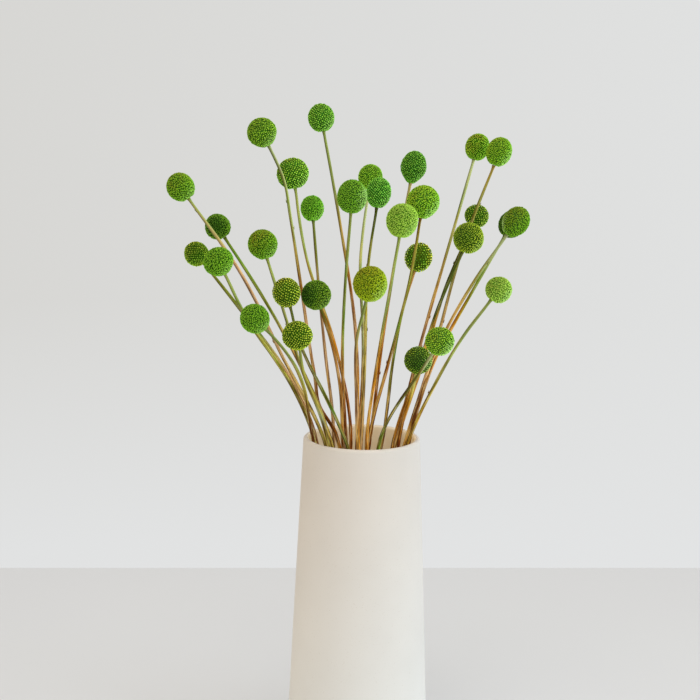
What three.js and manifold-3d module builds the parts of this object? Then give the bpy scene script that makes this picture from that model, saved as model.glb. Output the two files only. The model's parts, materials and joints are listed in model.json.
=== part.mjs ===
// A tall tapered ceramic vase holding a loose, wide bunch of billy buttons (Craspedia).
// Each flower is one bare stalk with one round green head. Millimetres, +Z up; the origin is
// the centre of the vase's foot.

import * as THREE from 'three';
import { ConvexHull } from 'three/addons/math/ConvexHull.js';
import { mergeVertices } from 'three/addons/utils/BufferGeometryUtils.js';
import Module from 'manifold-3d';

// ---- driving dimensions -------------------------------------------------------------------

const VASE = {
  height: 300,
  rimRadius: 52.5,
  footRadius: 65.5,
  lipRadius: 2.7,
  footEdge: 1.5,
  floor: 8,
  cornerRadius: 4,
  segments: 56,
};

const GAP = 0.3;
const UP = new THREE.Vector3(0, 0, 1);
const STALK_SIDES = 6;
const STALK_RADIUS_LOW = 2;
const STALK_RADIUS_TOP = 1.25;
const GIRTH_RUN = 30;
const COLLAR_RADIUS = 1.7;
const COLLAR_HEIGHT = 5;

// Heights at which a stalk has a ring: wide steps in the vase, closer ones in the open.
const STEPS_IN_VASE = 5;
const STEP_ABOVE_RIM = 25;

// The cut ends stand on the floor of the vase in the pattern of the rim, turned about the
// axis and spread a little. Below STRAIGHT_BELOW the stalks run straight, and straight stalks
// between two such patterns never cross.
const SPIRAL_TURN = THREE.MathUtils.degToRad(105);
const FOOT_SPREAD = 1.15;
const STRAIGHT_BELOW = 210;

const FLORETS = 60;
const FLORET_RELIEF = 0.13;
const FLORET_UNEVEN = 0.03;
const HEAD_SEAT = 0.93;
const GOLDEN_ANGLE = Math.PI * (3 - Math.sqrt(5));

const GREENS = {
  fresh: 0x5f8a2c,
  deep: 0x4b6d1a,
  lime: 0x749c3a,
  olive: 0x5b741c,
  yellow: 0x748e28,
};

const STALK_TONES = {
  tan: 0xa98652,
  brown: 0x8f6234,
  green: 0x6b8242,
  dark: 0x4c5a2c,
};

// One row for each flower. head: centre of the head. size: width, and length along the
// stalk. rim: where the stalk passes the rim. bow: how far the stalk swings to the right
// one third and two thirds of the way up from the rim. knees: points x, y, z that a crooked
// stalk passes instead. hue: the head's green, fresh if not given. tone: the stalk's colour,
// green if not given. pear: how far the head narrows towards the stalk. girth: how much
// stouter the stalk grows above the rim.
const FLOWERS = [
  { id: '01', head: [-161, -10, 522], size: [24, 25], rim: [-34, -11], bow: [5, 10], tone: 'tan' },
  {
    id: '02', head: [-92, 15, 569], size: [26, 26], rim: [-24, 15], tone: 'tan',
    knees: [[-35, 15, 314], [-42, 15, 345], [-57, 15, 436], [-70, 15, 515], [-74, 15, 534]],
  },
  { id: '03', head: [-66, 48, 532], size: [29, 28], rim: [-10, 28], bow: [3, -5], tone: 'tan' },
  { id: '04', head: [-41, 60, 582], size: [24, 26], rim: [-4, 17], bow: [9, 6], tone: 'tan' },
  { id: '05', head: [-132, 25, 485], size: [23, 24], rim: [-30, 4], bow: [8, 7], hue: 'deep', tone: 'dark' },
  { id: '06', head: [-49, 85, 498], size: [22, 25], rim: [-26, 34], bow: [-1, -1], tone: 'tan' },
  { id: '07', head: [-152, 35, 459], size: [22, 23], rim: [-43, 14], bow: [11, 7] },
  { id: '08', head: [-125, -42, 461], size: [26, 24], rim: [-44, 3], bow: [5, -2], tone: 'brown' },
  { id: '09', head: [-90, 0, 472], size: [26, 26], rim: [-27, -20], bow: [-4, -2] },
  { id: '10', head: [-12, -25, 517], size: [26, 29], rim: [-14, -6], bow: [-5, -4], tone: 'dark' },
  { id: '11', head: [5, 98, 527], size: [23, 25], rim: [-2, 38], bow: [0, -6] },
  { id: '12', head: [12, 45, 516], size: [23, 29], rim: [0, 10], bow: [-2, -5], hue: 'deep', tone: 'tan' },
  { id: '13', head: [44, 70, 538], size: [24, 31], rim: [9, 27], bow: [-3, -3], tone: 'tan', pear: 0.38 },
  { id: '14', head: [31, -35, 498], size: [27, 29], rim: [4, -26], bow: [-2, -1], hue: 'lime', tone: 'tan' },
  { id: '15', head: [52, 35, 509], size: [29, 30], rim: [7, 0], bow: [2, 4], tone: 'brown' },
  { id: '16', head: [51, 80, 454], size: [26, 28], rim: [21, 30], bow: [-4, -5], hue: 'deep', tone: 'dark' },
  { id: '17', head: [101, 56, 558], size: [22, 25], rim: [33, 16], bow: [-2, -1], tone: 'tan' },
  { id: '18', head: [118, 28, 555], size: [23, 27], rim: [42, 15], bow: [-1, -5], tone: 'brown' },
  { id: '19', head: [105, 88, 493], size: [23, 22], rim: [35, 28], bow: [-1, -5], hue: 'olive', tone: 'tan' },
  {
    id: '20', head: [88, -35, 484], size: [26, 26], rim: [28, -18],
    bow: [-2, -4], hue: 'olive', tone: 'dark',
  },
  { id: '21', head: [131, -8, 496], size: [23, 27], rim: [43, 6], bow: [-13, -12] },
  { id: '22', head: [131, 26, 491], size: [23, 25], rim: [43, -7], bow: [-11, -7], hue: 'deep', tone: 'tan' },
  { id: '23', head: [116, -28, 439], size: [23, 23], rim: [41, -18], bow: [-6, -7], hue: 'lime' },
  { id: '24', head: [-66, -66, 439], size: [24, 26], rim: [-13, -35], bow: [-2, -6], hue: 'olive' },
  {
    id: '25', head: [-41, -58, 436], size: [25, 26], rim: [-17, -21],
    bow: [6, 6], hue: 'deep', tone: 'dark',
  },
  {
    id: '26', head: [-92, -72, 417], size: [24, 26], rim: [-44, -9],
    knees: [[-48, -23, 327], [-51, -36, 350], [-60, -49, 375], [-72, -60, 395]],
  },
  { id: '27', head: [-55, -102, 408], size: [25, 24], rim: [-29, -33], bow: [0, -4], hue: 'olive' },
  { id: '28', head: [4, -95, 451], size: [28, 29], rim: [-3, -42], bow: [-5, -8], hue: 'yellow' },
  { id: '29', head: [46, -68, 383], size: [24, 23], rim: [32, -30], bow: [-1, 1], hue: 'deep' },
  { id: '30', head: [61, -112, 407], size: [24, 24], rim: [14, -42], bow: [-3, -1], girth: 1.4 },
];

// These two stalks lean on each other and hold together as one body.
const LEANING_PAIR = ['21', '22'];

// ---- vase ---------------------------------------------------------------------------------

function arcPoints(centre, radius, startDegrees, endDegrees, steps) {
  const points = [];
  for (let step = 0; step <= steps; step += 1) {
    const angle = THREE.MathUtils.degToRad(startDegrees + ((endDegrees - startDegrees) * step) / steps);
    const x = centre[0] + radius * Math.cos(angle);
    const y = centre[1] + radius * Math.sin(angle);
    points.push(new THREE.Vector2(x, y));
  }
  return points;
}

function outerRadiusAt(z) {
  return VASE.footRadius + ((VASE.rimRadius - VASE.footRadius) * z) / VASE.height;
}

function vaseGeometry() {
  const wall = 2 * VASE.lipRadius;
  const lipHeight = VASE.height - VASE.lipRadius;
  const lipCentre = [outerRadiusAt(lipHeight) - VASE.lipRadius, lipHeight];
  const footCentre = [VASE.footRadius - VASE.footEdge, VASE.footEdge];
  const cornerHeight = VASE.floor + VASE.cornerRadius;
  const cornerCentre = [outerRadiusAt(cornerHeight) - wall - VASE.cornerRadius, cornerHeight];
  const profile = [
    new THREE.Vector2(0, 0),
    ...arcPoints(footCentre, VASE.footEdge, -90, 0, 2),
    ...arcPoints(lipCentre, VASE.lipRadius, 0, 180, 6),
    ...arcPoints(cornerCentre, VASE.cornerRadius, 0, -90, 3),
    new THREE.Vector2(0, VASE.floor),
  ];
  return new THREE.LatheGeometry(profile, VASE.segments).rotateX(Math.PI / 2);
}

// ---- stalks -------------------------------------------------------------------------------

function kneesOf(flower, rim, head) {
  if (flower.knees) {
    return flower.knees.map((knee) => new THREE.Vector3(...knee));
  }
  return flower.bow.map((swing, index) => {
    const knee = rim.clone().lerp(head, (index + 1) / (flower.bow.length + 1));
    knee.x += swing;
    return knee;
  });
}

// The stalk's axis, as x and y over height: from its cut end past the rim to the head.
function stalkAxis(flower) {
  const rim = new THREE.Vector3(...flower.rim, VASE.height);
  const head = new THREE.Vector3(...flower.head);
  const foot = rim.clone().applyAxisAngle(UP, SPIRAL_TURN).multiplyScalar(FOOT_SPREAD);
  foot.z = VASE.floor + GAP;
  const straightTo = foot.clone().lerp(rim, (STRAIGHT_BELOW - foot.z) / (rim.z - foot.z));
  const knots = [foot, straightTo, rim, ...kneesOf(flower, rim, head), head];
  const heights = knots.map((knot) => knot.z);
  const places = knots.flatMap((knot) => [knot.x, knot.y]);
  const spline = new THREE.CubicInterpolant(heights, places, 2);
  return (z) => {
    const [x, y] = spline.evaluate(z);
    return new THREE.Vector3(x, y, z);
  };
}

function directionAt(axis, z) {
  return axis(z).sub(axis(z - 1)).normalize();
}

// Where the stalk ends: on the underside of the head, square to it.
function seatOf(flower, axis) {
  const headCentre = new THREE.Vector3(...flower.head);
  const direction = directionAt(axis, headCentre.z);
  const reach = (HEAD_SEAT * flower.size[1]) / 2 + GAP;
  return { point: headCentre.addScaledVector(direction, -reach), direction };
}

function ringHeights(topHeight) {
  const heights = [];
  const bottom = VASE.floor + GAP;
  for (let step = 0; step < STEPS_IN_VASE; step += 1) {
    heights.push(bottom + ((VASE.height - bottom) * step) / STEPS_IN_VASE);
  }
  const last = topHeight - COLLAR_HEIGHT - STEP_ABOVE_RIM / 3;
  for (let z = VASE.height; z < last; z += STEP_ABOVE_RIM) {
    heights.push(z);
  }
  return heights;
}

// A ring of the round stalk where a plane with the given normal cuts it.
function cutRing(centre, direction, planeNormal, radius) {
  const side = new THREE.Vector3(0, 1, 0).cross(direction).normalize();
  const front = direction.clone().cross(side);
  const ring = [];
  for (let corner = 0; corner < STALK_SIDES; corner += 1) {
    const angle = (2 * Math.PI * corner) / STALK_SIDES;
    const offset = side.clone().multiplyScalar(radius * Math.cos(angle));
    offset.addScaledVector(front, radius * Math.sin(angle));
    offset.addScaledVector(direction, -offset.dot(planeNormal) / direction.dot(planeNormal));
    ring.push(centre.clone().add(offset));
  }
  return ring;
}

function stalkRings(flower) {
  const axis = stalkAxis(flower);
  const seat = seatOf(flower, axis);
  const extraGirth = (flower.girth ?? 1) - 1;
  const radiusAt = (z) => {
    const even = THREE.MathUtils.mapLinear(z, 0, seat.point.z, STALK_RADIUS_LOW, STALK_RADIUS_TOP);
    const grown = THREE.MathUtils.smoothstep(z, VASE.height, VASE.height + GIRTH_RUN);
    const back = THREE.MathUtils.smoothstep(z, seat.point.z - GIRTH_RUN, seat.point.z);
    return even * (1 + extraGirth * grown * (1 - back));
  };
  const heights = ringHeights(seat.point.z);
  const rings = heights.map((z) => cutRing(axis(z), directionAt(axis, z + 0.5), UP, radiusAt(z)));
  const neck = seat.point.clone().addScaledVector(seat.direction, -COLLAR_HEIGHT);
  rings.push(cutRing(neck, seat.direction, seat.direction, STALK_RADIUS_TOP));
  rings.push(cutRing(seat.point, seat.direction, seat.direction, COLLAR_RADIUS));
  return rings;
}

// Joins rings of equal count into one closed skin with flat ends.
function skinOf(rings) {
  const positions = rings.flat().flatMap((point) => point.toArray());
  const sides = rings[0].length;
  const indices = [];
  for (let row = 0; row + 1 < rings.length; row += 1) {
    for (let corner = 0; corner < sides; corner += 1) {
      const a = row * sides + corner;
      const b = row * sides + ((corner + 1) % sides);
      indices.push(a, b, b + sides, a, b + sides, a + sides);
    }
  }
  const top = (rings.length - 1) * sides;
  for (let corner = 1; corner + 1 < sides; corner += 1) {
    indices.push(0, corner + 1, corner);
    indices.push(top, top + corner, top + corner + 1);
  }
  const geometry = new THREE.BufferGeometry();
  geometry.setAttribute('position', new THREE.Float32BufferAttribute(positions, 3));
  geometry.setIndex(indices);
  return geometry;
}

// ---- flower heads -------------------------------------------------------------------------

// Directions of the florets, spread evenly over a ball. The first one points down at the
// stalk and becomes the flat seat.
function floretDirections(turn) {
  const directions = [new THREE.Vector3(0, 0, -1)];
  for (let floret = 1; floret <= FLORETS; floret += 1) {
    const z = -1 + (2 * (floret + 0.5)) / (FLORETS + 1);
    const angle = floret * GOLDEN_ANGLE + turn;
    const spread = Math.sqrt(1 - z * z);
    directions.push(new THREE.Vector3(spread * Math.cos(angle), spread * Math.sin(angle), z));
  }
  return directions;
}

// Every floret is a low peak with a valley all round it: the valleys meet at the corners of
// the florets' cells, which are the outward normals of the hull through the peaks.
function headGeometry(flower, turn) {
  const [width, length] = flower.size;
  const directions = floretDirections(turn);
  const hull = new ConvexHull().setFromPoints(directions);
  const seat = directions[0];
  const seatHeight = (-HEAD_SEAT * length) / 2;
  const peaks = new Map();
  directions.forEach((direction, index) => {
    const peakRadius = 1 + FLORET_UNEVEN * Math.sin(index * 12.9898 + turn);
    peaks.set(direction, shaped(direction, peakRadius));
  });
  peaks.get(seat).z = seatHeight;

  function shaped(direction, radius) {
    const narrowing = 1 - (flower.pear ?? 0) * Math.max(0, -direction.z) ** 2;
    const across = (radius * width * narrowing) / 2;
    return new THREE.Vector3(across, across, (radius * length) / 2).multiply(direction);
  }

  const positions = [];
  for (const face of hull.faces) {
    let edge = face.edge;
    do {
      const peak = edge.tail().point;
      const corners = [edge.twin.face, face].map((cell) => {
        const valley = shaped(cell.normal, 1 - FLORET_RELIEF);
        valley.z = touches(cell, seat) ? seatHeight : valley.z;
        return valley;
      });
      positions.push(...peaks.get(peak).toArray(), ...corners[0].toArray(), ...corners[1].toArray());
      edge = edge.next;
    } while (edge !== face.edge);
  }
  const geometry = new THREE.BufferGeometry();
  geometry.setAttribute('position', new THREE.Float32BufferAttribute(positions, 3));
  return mergeVertices(geometry);
}

function touches(face, point) {
  return [face.edge, face.edge.next, face.edge.prev].some((edge) => edge.head().point === point);
}

// ---- joining ------------------------------------------------------------------------------

const wasm = await Module();
wasm.setup();

function solidOf(geometry) {
  const mesh = new wasm.Mesh({
    numProp: 3,
    vertProperties: new Float32Array(geometry.attributes.position.array),
    triVerts: new Uint32Array(geometry.index.array),
  });
  return new wasm.Manifold(mesh);
}

function joined(first, second) {
  const mesh = solidOf(first).add(solidOf(second)).getMesh();
  const geometry = new THREE.BufferGeometry();
  geometry.setAttribute('position', new THREE.BufferAttribute(mesh.vertProperties, 3));
  geometry.setIndex(new THREE.BufferAttribute(mesh.triVerts, 1));
  return geometry;
}

// ---- assembly -----------------------------------------------------------------------------

const group = new THREE.Group();

function addMesh(name, geometry, color, roughness) {
  const material = new THREE.MeshStandardMaterial({ color, roughness, metalness: 0 });
  const mesh = new THREE.Mesh(geometry, material);
  mesh.name = name;
  group.add(mesh);
  return mesh;
}

function addHead(flower, number) {
  const mesh = addMesh(`head_${flower.id}`, headGeometry(flower, number), GREENS[flower.hue ?? 'fresh'], 0.9);
  const { direction } = seatOf(flower, stalkAxis(flower));
  mesh.position.set(...flower.head);
  mesh.quaternion.setFromUnitVectors(UP, direction);
}

function addStalk(flower) {
  addMesh(`stem_${flower.id}`, skinOf(stalkRings(flower)), STALK_TONES[flower.tone ?? 'green'], 0.75);
}

function addLeaningPair(flowers) {
  const [first, second] = flowers.map((flower) => skinOf(stalkRings(flower)));
  addMesh(`stems_${LEANING_PAIR.join('_')}`, joined(first, second), STALK_TONES.green, 0.75);
}

addMesh('vase', vaseGeometry(), 0xe9e2d4, 0.7);
FLOWERS.forEach(addHead);
FLOWERS.filter((flower) => !LEANING_PAIR.includes(flower.id)).forEach(addStalk);
addLeaningPair(FLOWERS.filter((flower) => LEANING_PAIR.includes(flower.id)));

export default group;
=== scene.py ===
import itertools
import json
import math

import bpy
import numpy as np
from mathutils import Matrix, Vector


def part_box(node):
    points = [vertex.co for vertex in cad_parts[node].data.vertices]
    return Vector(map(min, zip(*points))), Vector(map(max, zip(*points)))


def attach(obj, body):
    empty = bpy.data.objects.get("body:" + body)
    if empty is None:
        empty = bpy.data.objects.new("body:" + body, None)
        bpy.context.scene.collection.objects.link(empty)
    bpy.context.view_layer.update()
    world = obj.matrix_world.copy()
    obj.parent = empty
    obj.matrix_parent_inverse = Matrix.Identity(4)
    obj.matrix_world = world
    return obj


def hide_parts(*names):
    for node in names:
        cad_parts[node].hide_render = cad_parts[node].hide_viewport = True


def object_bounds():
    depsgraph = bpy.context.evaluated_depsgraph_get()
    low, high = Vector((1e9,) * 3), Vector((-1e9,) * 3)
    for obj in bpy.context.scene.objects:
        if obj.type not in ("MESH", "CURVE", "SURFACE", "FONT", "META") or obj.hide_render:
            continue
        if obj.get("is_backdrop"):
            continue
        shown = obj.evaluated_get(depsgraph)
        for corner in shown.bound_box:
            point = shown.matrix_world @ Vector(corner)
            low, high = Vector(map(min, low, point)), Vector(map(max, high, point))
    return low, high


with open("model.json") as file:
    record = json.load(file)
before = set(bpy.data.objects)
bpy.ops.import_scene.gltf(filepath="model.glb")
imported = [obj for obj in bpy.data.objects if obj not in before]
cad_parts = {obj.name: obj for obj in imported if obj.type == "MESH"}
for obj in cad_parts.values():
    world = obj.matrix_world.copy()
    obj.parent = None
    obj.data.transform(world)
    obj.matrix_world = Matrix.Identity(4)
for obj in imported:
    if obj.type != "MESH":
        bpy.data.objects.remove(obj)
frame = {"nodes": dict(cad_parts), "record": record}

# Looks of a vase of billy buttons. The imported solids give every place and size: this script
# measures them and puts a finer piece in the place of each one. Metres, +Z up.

cad_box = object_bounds()

MM = 0.001
TOLERANCE = 1e-9
GOLDEN_ANGLE = math.pi * (3 - math.sqrt(5))

# ---- driving values ----

# The camera stands in front of the vase and a little above the rim.
CAMERA_PLACE = (-0.0118, -1.2808, 0.6039)
CAMERA_PITCH_DOWN = math.radians(9.96)
CAMERA_ROLL = math.radians(0.88)
SENSOR_WIDTH_MM = 36
PICTURE_WIDTH_PIXELS = 700
FOCAL_LENGTH_PIXELS = 1460
NEAREST_SEEN = 50 * MM

# The table under the vase, turned a little about the vase.
TABLE_BACK = 0.531
TABLE_FRONT = -1.6
TABLE_SIDE = 1.6
TABLE_TURN = math.radians(2.75)
TABLE_THICKNESS = 30 * MM
TABLE_EDGE = 2 * MM
TABLE_EDGE_STEPS = 3

# The vase's finer outline. In the CAD vase, the lip lies within LIP_REACH of the top and the
# middle of the floor within NEAR_AXIS of the axis.
VASE_SEGMENTS = 160
LIP_REACH = 5 * MM
LIP_STEPS = 14
FOOT_EDGE = 1.5 * MM
FOOT_STEPS = 5
NEAR_AXIS = 1.5 * MM
INNER_CORNER = 4 * MM
INNER_CORNER_STEPS = 6
WALL_ROWS = 24

# The wall is a little out of round: two bulges, which turn with height by WALL_TWIST radians a
# metre.
WALL_UNEVEN = 0.12 * MM
WALL_BULGES = 2
WALL_TWIST = 14

# The glaze warms from GLAZE_LOW up to GLAZE_HIGH.
GLAZE_LOW = 60 * MM
GLAZE_HIGH = 270 * MM

# A painted glow on the inside wall below the rim, an emission that fades with depth. The
# inside starts INSIDE_FROM of the way over the lip.
PAINTED_INNER_GLOW = 0.27
PAINTED_GLOW_DEPTH = 90 * MM
INSIDE_FROM = 0.6

# Stalks. A CAD stalk is a row of six-cornered rings: SAME_CORNER tells copies of one corner,
# RING_REACH the corners of one ring, and SAME_LEVEL rings at one height.
CAD_STALK_SIDES = 6
SAME_CORNER = 0.05 * MM
RING_REACH = 1.9 * MM
SAME_LEVEL = 1 * MM

# A fine stalk is round, and widens under its head in a collar, whose rows are shares of its
# height from the top. Its ridges turn by one radian in RIDGE_TWIST, and it swells a little in
# two slow waves.
STALK_SEED = 100
STALK_SIDES = 15
STALK_STEP_IN_VASE = 9 * MM
STALK_STEP = 3 * MM
SLIMMING = 0.96
COLLAR_RADIUS = 1.7 * MM
COLLAR_HEIGHT = 5 * MM
COLLAR_ROWS = (0.6, 0.3, 0.0)
RIDGES = 5
RIDGE_SHARE = 0.09
RIDGE_TWIST = 60 * MM
SWELL_SHARE = 0.035
SWELL_LENGTHS = (21 * MM, 8 * MM)

# Dry scale leaves on the stalks, none of them within SCALE_LEAF_CLEAR of the rim. The sides of
# a leaf's root lie SCALE_LEAF_SUNK of the stalk's radius from its axis, and its heel
# SCALE_LEAF_HEEL more.
SCALE_LEAF_SPACING = 90 * MM
SCALE_LEAF_CLEAR = 40 * MM
SCALE_LEAF_LENGTH = 3.0 * MM
SCALE_LEAF_WIDTH = 1.1 * MM
SCALE_LEAF_STAND = 0.9 * MM
SCALE_LEAF_SUNK = 0.6
SCALE_LEAF_HEEL = 0.9
SCALE_LEAF_SHADE = 0.5

# Heads. The florets' tips lie on the form of the CAD head, and their roots in a core. The CAD
# head's underside is cut flat HEAD_SEAT of its half length below its middle. From there to its
# top floret it measures TOP_FLORET of its whole length, and its widest florets stand out by
# PEAK_UNEVEN. LUMP_WAVES slow waves each move the surface by LUMP_SHARE.
HEAD_SEED = 500
HEAD_SEAT = 0.93
TOP_FLORET = 0.957
PEAK_UNEVEN = 1.02
CORE_SHARE = 0.90
CORE_RINGS = 12
CORE_COLUMNS = 20
LUMP_SHARE = 0.006875
LUMP_WAVES = 4
LUMP_PITCHES = (1.5, 4)

# A head may narrow downwards, by a share that grows with the square of the depth below its
# middle. The share is measured in PEAR_BAND, in half lengths from the middle, round PEAR_MIDDLE,
# and one of less than LEAST_PEAR at the foot counts as none.
PEAR_BAND = (-0.8, -0.6)
PEAR_MIDDLE = -0.7
LEAST_PEAR = 0.15

# The green neck of a head round the stalk's end. Its rows are shares of the hole's radius.
SEAT_HOLE = 2.4 * MM
NECK_SIDES = 12
NECK_ROWS = (0.8, 1.3)
NECK_HEIGHT = 2.4 * MM
NECK_TIP = 0.5

# Florets. FLORETS is how many a head of the usual radius has with a crisp of 0, and AREA_POWERS
# of its half width and half length give about its area.
FLORETS = 928
USUAL_HEAD_RADIUS = 12.7 * MM
LARGENESS_RANGE = (0.85, 1.3)
AREA_POWERS = (1.33, 0.67)
LOBES = 5
FLORET_DEPTH = 1.75 * MM
FLORET_WIDTH_SHARE = 0.54
FLORET_WIDTHS = (0.88, 1.1)
FLORET_TILT = 0.12
FLORET_JITTER = 0.024
FLORET_UNEVEN = 0.008
# GAP_CONTRAST scales the run from the painted shade in a floret's gap to its bright tip.
GAP_CONTRAST = 0.5
UNLIKE = 0.11

# What a crisp of 1 changes: the florets are fewer and narrower and sit more evenly, the painted
# shade in their gaps is deeper against their tips, they differ more from one another, and the
# closed ones get painted shade.
FEWER_IF_CRISP = 288
NARROWER_IF_CRISP = 0.17
STEADIER_IF_CRISP = 0.3
LEAST_JITTER_SHARE = 0.75
CONTRAST_IF_CRISP = 0.8
UNLIKE_IF_CRISP = 0.15
DIM_IF_CRISP = 0.15

# ---- what the solids say ----

SLOT_OF = {part["node"]: part["material_slot"] for part in frame["record"]["subparts"]}
HEAD_NODES = sorted(node for node in frame["nodes"] if node.startswith("head_"))
STALK_NODES = sorted(node for node in frame["nodes"] if node.startswith("stem"))


def groups(points, reach):
    """Splits points into groups in which each lies within reach of another."""
    near = np.linalg.norm(points[:, None] - points[None], axis=2) < reach
    label = np.arange(len(points))
    while True:
        lowest = np.where(near, label[None], len(points)).min(axis=1)
        if (lowest == label).all():
            return [points[label == one] for one in np.unique(label)]
        label = lowest


def corners_of(node):
    """The corners of a CAD node, each one once."""
    mesh = frame["nodes"][node].data
    flat = np.empty(len(mesh.vertices) * 3)
    mesh.vertices.foreach_get("co", flat)
    corners = np.unique(flat.reshape(-1, 3).round(6), axis=0)
    return np.array([same.mean(axis=0) for same in groups(corners, SAME_CORNER)])


def miss(line, centre):
    """How far, squared, a point lies from a stalk that runs straight on from its last points."""
    ahead = line[-1][:2]
    if len(line) > 1:
        step = line[-1] - line[-2]
        ahead = ahead + step[:2] * (centre[2] - line[-1][2]) / step[2]
    return np.sum((ahead - centre[:2]) ** 2)


def centrelines(node):
    """The points along each stalk of a node, from its cut end up. Rings that the joint of two
    stalks has spoilt are left out."""
    rings = [ring for ring in groups(corners_of(node), RING_REACH) if len(ring) == CAD_STALK_SIDES]
    centres = np.array(sorted((ring.mean(axis=0) for ring in rings), key=lambda centre: centre[2]))
    levels = np.split(centres, np.flatnonzero(np.diff(centres[:, 2]) > SAME_LEVEL) + 1)
    lines = [[centre] for centre in levels[0]]
    for level in levels[1:]:
        chosen = min(
            itertools.permutations(lines, len(level)),
            key=lambda order: sum(miss(line, centre) for line, centre in zip(order, level)),
        )
        for line, centre in zip(chosen, level):
            line.append(centre)
    return [np.array(line) for line in lines]


def ring_radii(node, line):
    """The radius of the ring round each point of a stalk."""
    reach = np.linalg.norm(corners_of(node)[None] - line[:, None], axis=2)
    return np.sort(reach, axis=1)[:, :CAD_STALK_SIDES].mean(axis=1)


def head_form(node, lines):
    """Size and place of a head, from its CAD node and the stalk that ends under it."""
    corners = corners_of(node)
    middle = corners.mean(axis=0)
    line = min(lines, key=lambda line: np.linalg.norm(line[-1] - middle))
    axis = unit(line[-1] - line[-2])
    along = (corners - line[-1]) @ axis
    across = np.linalg.norm(corners - line[-1] - along[:, None] * axis, axis=1)
    half_length = (along.max() - along.min()) / TOP_FLORET / 2
    half_width = across.max() / PEAK_UNEVEN
    centre = line[-1] + axis * (along.min() + HEAD_SEAT * half_length)
    share = (along - along.min()) / half_length - HEAD_SEAT
    low = (share > PEAR_BAND[0]) & (share < PEAR_BAND[1])
    fullness = (across[low] / half_width / np.sqrt(1 - share[low] ** 2)).max()
    pear = (PEAK_UNEVEN - fullness) / PEAR_MIDDLE**2
    return {
        "centre": centre,
        "turn": upright_on(axis),
        "half_width": half_width,
        "half_length": half_length,
        "pear": pear if pear > LEAST_PEAR else 0,
    }


# ---- shared geometry ----


def unit(vectors):
    return vectors / np.linalg.norm(vectors, axis=-1, keepdims=True)


def upright_on(axis):
    """A frame whose rows are two directions square to axis, and axis."""
    side = unit(np.cross([0, 1, 0], axis))
    return np.array([side, np.cross(axis, side), axis])


def round_angles(count):
    return 2 * np.pi * np.arange(count) / count


def rings_of(radius, height, angle):
    """The points of a row of rings round Z. Each ring has a radius and a height."""
    places = [radius * np.cos(angle), radius * np.sin(angle), height + 0 * angle]
    return np.stack(places, axis=2).reshape(-1, 3)


def grid_triangles(rows, columns):
    """Triangles of a skin over rows of points, each row a ring."""
    row, column = np.meshgrid(np.arange(rows - 1), np.arange(columns), indexing="ij")
    a = (row * columns + column).ravel()
    b = (row * columns + (column + 1) % columns).ravel()
    halves = [np.column_stack([a, b, b + columns]), np.column_stack([a, b + columns, a + columns])]
    return np.vstack(halves)


def fan(first, count, flip=False):
    """Triangles that fill a ring of points."""
    corner = np.arange(1, count - 1)
    triangles = np.column_stack([np.full(count - 2, first), first + corner, first + corner + 1])
    return triangles[:, ::-1] if flip else triangles


def closed_tube(rows, columns):
    """Triangles of a skin over rows of points, closed at both ends."""
    first, last = fan(0, columns, flip=True), fan((rows - 1) * columns, columns)
    return np.vstack([grid_triangles(rows, columns), first, last])


def smooth_run(knots, heights):
    """Points at the given heights on a smooth curve through the knots."""
    height = knots[:, 2]
    step = np.diff(height)
    slope = np.diff(knots[:, :2], axis=0) / step[:, None]
    shared = slope[:-1] * step[1:, None] + slope[1:] * step[:-1, None]
    inner = shared / (step[:-1] + step[1:])[:, None]
    tangent = np.vstack([slope[:1], inner, slope[-1:]])
    cell = np.clip(np.searchsorted(height, heights, side="right") - 1, 0, len(step) - 1)
    length = step[cell][:, None]
    t = ((heights - height[cell]) / step[cell])[:, None]
    place = (2 * t**3 - 3 * t**2 + 1) * knots[cell, :2]
    place += (3 * t**2 - 2 * t**3) * knots[cell + 1, :2]
    leaving = (t**3 - 2 * t**2 + t) * length * tangent[cell]
    arriving = (t**3 - t**2) * length * tangent[cell + 1]
    return np.column_stack([place + (leaving + arriving), heights])


def add_piece(name, node, points, triangles, material, **layers):
    """A mesh that stands for a CAD node. Each layer is a value or a vector for every point."""
    mesh = bpy.data.meshes.new(name)
    mesh.from_pydata(points, [], triangles, shade_flat=False)
    for layer, values in layers.items():
        values = np.asarray(values, np.float32)
        kind, field = ("FLOAT_VECTOR", "vector") if values.ndim == 2 else ("FLOAT", "value")
        mesh.attributes.new(layer, kind, "POINT").data.foreach_set(field, values.ravel())
    mesh.materials.append(material)
    piece = bpy.data.objects.new(name, mesh)
    bpy.context.scene.collection.objects.link(piece)
    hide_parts(node)
    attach(piece, "root")


# ---- material helpers ----


def linear(code):
    """A colour of six hex digits as linear red, green, blue, and 1."""
    shares = [int(code[start : start + 2], 16) / 255 for start in (0, 2, 4)]
    return (*[s / 12.92 if s <= 0.04045 else ((s + 0.055) / 1.055) ** 2.4 for s in shares], 1)


def plug(tree, value, socket):
    """Links value to socket if it is a socket itself, and otherwise sets it."""
    if isinstance(value, bpy.types.NodeSocket):
        tree.links.new(value, socket)
    else:
        socket.default_value = value


def new_material(name):
    material = bpy.data.materials.new(name)
    material.use_nodes = True
    return material, material.node_tree, material.node_tree.nodes["Principled BSDF"]


def place_in(tree):
    return tree.nodes.new("ShaderNodeTexCoord").outputs["Object"]


def layer_of(tree, name, output="Fac"):
    node = tree.nodes.new("ShaderNodeAttribute")
    node.attribute_name = name
    return node.outputs[output]


def noise(tree, vector, waves, detail=2):
    node = tree.nodes.new("ShaderNodeTexNoise")
    plug(tree, vector, node.inputs["Vector"])
    node.inputs["Scale"].default_value = waves
    node.inputs["Detail"].default_value = detail
    return node.outputs["Fac"]


def product(tree, first, second, clamp=False):
    node = tree.nodes.new("ShaderNodeMath")
    node.operation = "MULTIPLY"
    node.use_clamp = clamp
    plug(tree, first, node.inputs[0])
    plug(tree, second, node.inputs[1])
    return node.outputs[0]


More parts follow.
